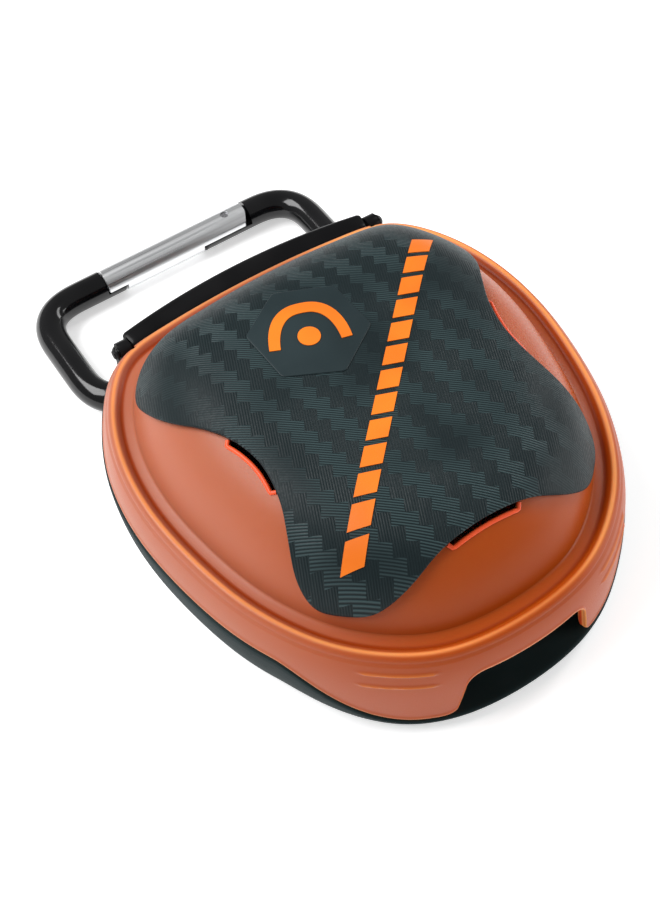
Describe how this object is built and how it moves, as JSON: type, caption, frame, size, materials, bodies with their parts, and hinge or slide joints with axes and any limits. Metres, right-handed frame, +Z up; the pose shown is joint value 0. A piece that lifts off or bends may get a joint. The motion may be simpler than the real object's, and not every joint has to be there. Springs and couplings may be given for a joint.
{
  "type": "mouthguard case",
  "caption": "Clamshell mouthguard case with a domed translucent lid, textured badge, thumb notch, hinge and carabiner, holding a bite tray.",
  "frame": {"origin": "on the case's flat underside, on its centre line, 40 mm behind the front edge", "axes": "+Z up through the lid's dome, +Y to the hinge and carabiner, +X to the right seen from the thumb notch"},
  "size_m": [0.0848, 0.1171, 0.0373],
  "materials": {
    "slate_plastic": "satin moulded polypropylene, dark slate",
    "black_plastic": "black moulded plastic, soft gloss",
    "lid_plastic": "frosted translucent orange polypropylene",
    "badge_plastic": "dark slate with a moulded twill weave",
    "black_enamel": "glossy black coat on the carabiner's rod",
    "polished_aluminium": "polished gate tube",
    "steel": "bright drawn wire and pin",
    "tray_rubber": "firm black thermoplastic rubber",
    "gel_rubber": "soft orange gel rubber"
  },
  "bodies": {
    "base": {"base_shell": "slate_plastic", "hinge_bracket": "black_plastic", "hinge_pin_left": "steel", "hinge_pin_right": "steel"},
    "lid": {"lid_shell": "lid_plastic", "lid_badge": "badge_plastic", "hinge_bar": "black_plastic"},
    "carabiner": {"carabiner_frame": "black_enamel", "gate_pivot_pin": "steel"},
    "gate": {"carabiner_gate": "polished_aluminium", "gate_spring": "steel", "gate_plunger": "steel"},
    "mouthguard": {"mouthguard_tray": "tray_rubber", "mouthguard_liner": "gel_rubber", "mouthguard_bite_pad_left": "gel_rubber", "mouthguard_bite_pad_right": "gel_rubber"}
  },
  "joints": [
    {"name": "lid_hinge", "type": "hinge", "parent": "base", "child": "lid", "pos_m": [0, 0.0425, 0.0192], "axis": [-1, 0, 0], "range_deg": [0, 110]},
    {"name": "carabiner_swing", "type": "hinge", "parent": "base", "child": "carabiner", "pos_m": [0, 0.043, 0.0046], "axis": [1, 0, 0], "range_deg": [-85, 30]},
    {"name": "gate_pivot", "type": "hinge", "parent": "carabiner", "child": "gate", "pos_m": [0.0101, 0.07096, 0.00309], "axis": [0, 0.0541, 0.9985], "range_deg": [0, 30], "stiffness_Nm_per_rad": 0.02, "springref_deg": -22.92},
    {"name": "mouthguard_lift", "type": "slide", "parent": "base", "child": "mouthguard", "axis": [0, 0, 1], "range_m": [0, 0.004]}
  ]
}
